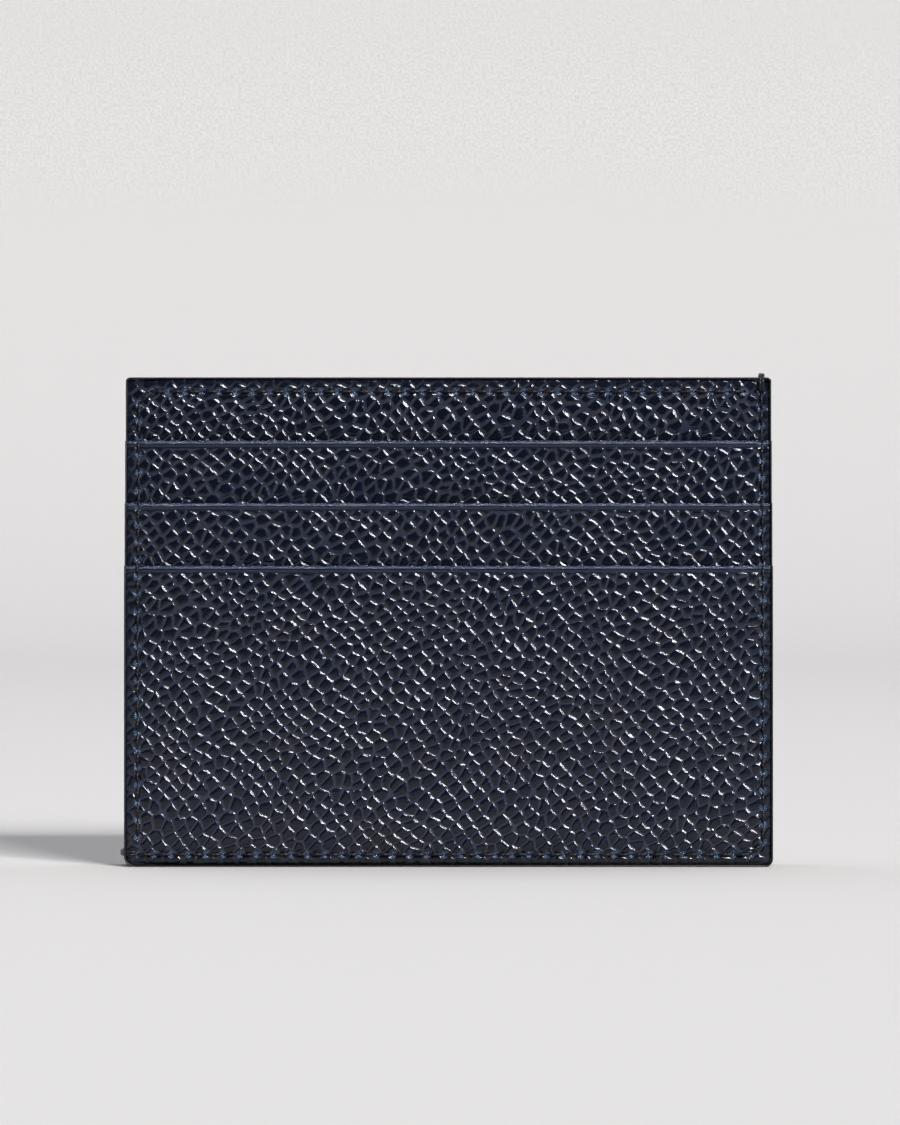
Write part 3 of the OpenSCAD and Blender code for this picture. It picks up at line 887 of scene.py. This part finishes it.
def sewWrap(name, node, strands):
    # strands of the closing thread laid side by side over an edge, as tubes along their paths
    deselectAll()
    made = []
    for points in strands:
        curve = bpy.data.curves.new(name, "CURVE")
        curve.dimensions = "3D"
        curve.bevel_depth = mm(threadSize["thick"] / 2)
        curve.bevel_resolution = 3
        curve.resolution_u = 6
        curve.use_fill_caps = True
        spline = curve.splines.new("BEZIER")
        spline.bezier_points.add(len(points) - 1)
        for knot, point in zip(spline.bezier_points, points):
            knot.co = point
            knot.handle_left_type = "AUTO"
            knot.handle_right_type = "AUTO"
        strand = bpy.data.objects.new(name, curve)
        scene.collection.objects.link(strand)
        makeActive(strand)
        bpy.ops.object.convert(target="MESH")
        made.append(strand)
    wrap = joinPieces(made)
    mergeDoubles(2e-7)
    finishPiece(wrap, name, threadLook, [node], smooth=60)


half = mm(threadSize["thick"] / 2)
low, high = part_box("top_wrap")
topStrands = []
for step, side in enumerate((-1, 1)):
    x = (low.x + high.x) / 2 + side * half * 0.9
    near, far = low.y + half + mm(0.15), high.y - half - mm(0.15)
    over = high.z + mm(0.02)
    topStrands.append([(x, near + mm(0.25), low.z), (x, near, low.z + mm(0.5)), (x, near, over - mm(0.7)),
                       (x + mm(0.05), near + mm(0.35), over), (x, far - mm(0.35), over - mm(0.06 * step)),
                       (x, far, over - mm(0.7)), (x, far, low.z + mm(0.5)), (x, far - mm(0.25), low.z)])
sewWrap("thread_wrap_top", "top_wrap", topStrands)

low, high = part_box("bottom_wrap")
sideStrands = []
for side in (-1, 1):
    z = (low.z + high.z) / 2 + side * half * 0.9
    near, far = low.y + half + mm(0.15), high.y - half - mm(0.15)
    out = low.x + half + mm(0.12)
    sideStrands.append([(high.x, near + mm(0.25), z), (high.x - mm(0.5), near, z),
                        (out + mm(0.75), near, z), (out, near + mm(0.4), z), (out, far - mm(0.4), z),
                        (out + mm(0.75), far, z), (high.x - mm(0.5), far, z), (high.x, far - mm(0.25), z)])
sewWrap("thread_wrap_side", "bottom_wrap", sideStrands)
print("thread made")


paintLook = {
    "colour": "#05060a",
    "worn": "#15171d",
    "rough": 0.42,
    "lumps": 0.035,     # mm that the brushed coats stand up and down
    "soft": 0.09,       # mm that its corners are rounded
}


def edgePaintMaterial():
    # Acrylic edge paint, three brushed coats heated and rubbed: a thin, black, glossy, slightly lumpy line
    made, tree, shader, place = newMaterial("acrylic_edge_paint")
    lumps = addNode(tree, "ShaderNodeTexNoise", {"Vector": place, "Scale": 1100.0, "Detail": 3.0})
    colour = addNode(tree, "ShaderNodeMix", {0: lumps.outputs["Fac"], 6: linear(paintLook["colour"]),
                                             7: linear(paintLook["worn"])}, data_type="RGBA").outputs[2]
    tree.links.new(colour, shader.inputs["Base Color"])
    setSockets(shader, {"Roughness": paintLook["rough"], "IOR": 1.49})
    bump = addNode(tree, "ShaderNodeBump", {"Strength": 1.0, "Distance": mm(paintLook["lumps"]),
                                            "Height": lumps.outputs["Fac"]})
    tree.links.new(bump.outputs[0], shader.inputs["Normal"])
    return made


def softCopy(name, node, material, soft):
    # a merged copy of a CAD node with rounded corners
    deselectAll()
    copy = nodes[node].copy()
    copy.data = nodes[node].data.copy()
    copy.parent = None
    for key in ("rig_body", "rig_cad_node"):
        if key in copy:
            del copy[key]
    scene.collection.objects.link(copy)
    makeActive(copy)
    bpy.ops.object.mode_set(mode="EDIT")
    bpy.ops.mesh.select_all(action="SELECT")
    bpy.ops.mesh.remove_doubles(threshold=1e-6)
    bpy.ops.mesh.dissolve_limited(angle_limit=math.radians(1))
    bpy.ops.object.mode_set(mode="OBJECT")
    if copy.data.has_custom_normals:
        bpy.ops.mesh.customdata_custom_splitnormals_clear()
    applyModifier(copy, "BEVEL", "rounded", width=mm(soft), segments=2, limit_method="ANGLE",
                  angle_limit=math.radians(50))
    return finishPiece(copy, name, material, [node], smooth=50)


edgePaint = edgePaintMaterial()
for node in ("bottom_edge_paint", "right_edge_paint", "left_front_edge_paint", "left_back_edge_paint",
             "top_front_edge_paint", "top_back_edge_paint"):
    softCopy("painted_" + node.replace("_paint", ""), node, edgePaint, paintLook["soft"])
print("edges painted")


def splitLeatherMaterial():
    # Split leather strips skived thin and glued between the layers: dull, fibrous, dyed navy
    made, tree, shader, place = newMaterial("skived_split_leather")
    fibre = addNode(tree, "ShaderNodeTexNoise", {"Vector": place, "Scale": 4000.0, "Detail": 5.0})
    colour = addNode(tree, "ShaderNodeMix", {0: fibre.outputs["Fac"], 6: linear("#0a0c14"),
                                             7: linear("#242936")}, data_type="RGBA").outputs[2]
    tree.links.new(colour, shader.inputs["Base Color"])
    setSockets(shader, {"Roughness": 0.85})
    bump = addNode(tree, "ShaderNodeBump", {"Strength": 1.0, "Distance": mm(0.05),
                                            "Height": fibre.outputs["Fac"]})
    tree.links.new(bump.outputs[0], shader.inputs["Normal"])
    return made


splitLeather = splitLeatherMaterial()
for node, slotName in (("left_filler", "filler"), ("right_filler", "filler"), ("bottom_filler", "filler"),
                       ("right_welt", "filler"), ("bottom_welt", "filler")):
    softCopy("skived_" + node, node, splitLeather, 0.06)
print("fillers made")


lining = {
    "inset": 0.3,       # mm inside the leather's outline all round
    "thick": 0.12,      # mm
    "cell": 1.2,        # mm from vertex to vertex
    "thread": 0.22,     # mm from twill line to twill line, drawn a little coarse so that it shows
    "ripple": 0.02,     # mm
}


def twillMaterial():
    # Viscose twill, navy: fine slanting lines with a soft sheen
    made, tree, shader, place = newMaterial("viscose_twill_lining")
    lines = addNode(tree, "ShaderNodeTexWave", {"Vector": place,
                                                "Scale": 2 * math.pi / mm(lining["thread"]) / 20,
                                                "Distortion": 0.4},
                    bands_direction="DIAGONAL").outputs["Fac"]
    slub = addNode(tree, "ShaderNodeTexNoise", {"Vector": place, "Scale": 2500.0,
                                                "Detail": 2.0}).outputs["Fac"]
    both = addNode(tree, "ShaderNodeMath", {0: lines, 1: slub}, operation="MULTIPLY").outputs[0]
    colour = addNode(tree, "ShaderNodeMix", {0: both, 6: linear("#10131d"), 7: linear("#2c3345")},
                     data_type="RGBA").outputs[2]
    tree.links.new(colour, shader.inputs["Base Color"])
    setSockets(shader, {"Roughness": 0.6, "Sheen Weight": 0.3})
    bump = addNode(tree, "ShaderNodeBump", {"Strength": 0.8, "Distance": mm(0.03), "Height": lines})
    tree.links.new(bump.outputs[0], shader.inputs["Normal"])
    return made


twill = twillMaterial()


def liningSheet(name, node):
    low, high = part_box(node)
    inset = mm(lining["inset"])
    wide, tall = high.x - low.x - 2 * inset, high.z - low.z - 2 * inset
    deselectAll()
    bpy.ops.mesh.primitive_grid_add(x_subdivisions=round(wide / mm(lining["cell"])),
                                    y_subdivisions=round(tall / mm(lining["cell"])), size=1,
                                    rotation=(math.radians(90), 0, 0))
    cloth = bpy.context.object
    cloth.scale = (wide, tall, 1)
    cloth.location = ((low.x + high.x) / 2, (low.y + high.y) / 2, (low.z + high.z) / 2)
    bpy.ops.object.transform_apply(location=True, rotation=True, scale=True)
    cloth.name = name
    # the cut corners
    selectWhere(cloth, "VERT", lambda v: len(v.link_edges) == 2)
    bpy.ops.mesh.bevel(offset=mm(0.9), segments=3, affect="VERTICES")
    bpy.ops.object.mode_set(mode="OBJECT")
    texture = bpy.data.textures.new(name + "_ripple", "CLOUDS")
    texture.noise_scale = mm(9)
    applyModifier(cloth, "DISPLACE", "ripple", texture=texture, texture_coords="GLOBAL",
                  strength=mm(lining["ripple"]), mid_level=0.5)
    applyModifier(cloth, "SOLIDIFY", "thickness", thickness=mm(lining["thick"]), offset=0)
    finishPiece(cloth, name, twill, [node], smooth=60)
    print(name, "lined")


for node in ("upper_pocket_hem", "middle_pocket_hem"):
    softCopy("folded_" + node, node, twill, 0.06)
liningSheet("lining_divider", "divider_lining")
liningSheet("lining_back", "back_lining")
liningSheet("lining_upper_pocket", "upper_pocket_lining")
liningSheet("lining_middle_pocket", "middle_pocket_lining")
liningSheet("lining_front_pocket", "front_pocket_lining")
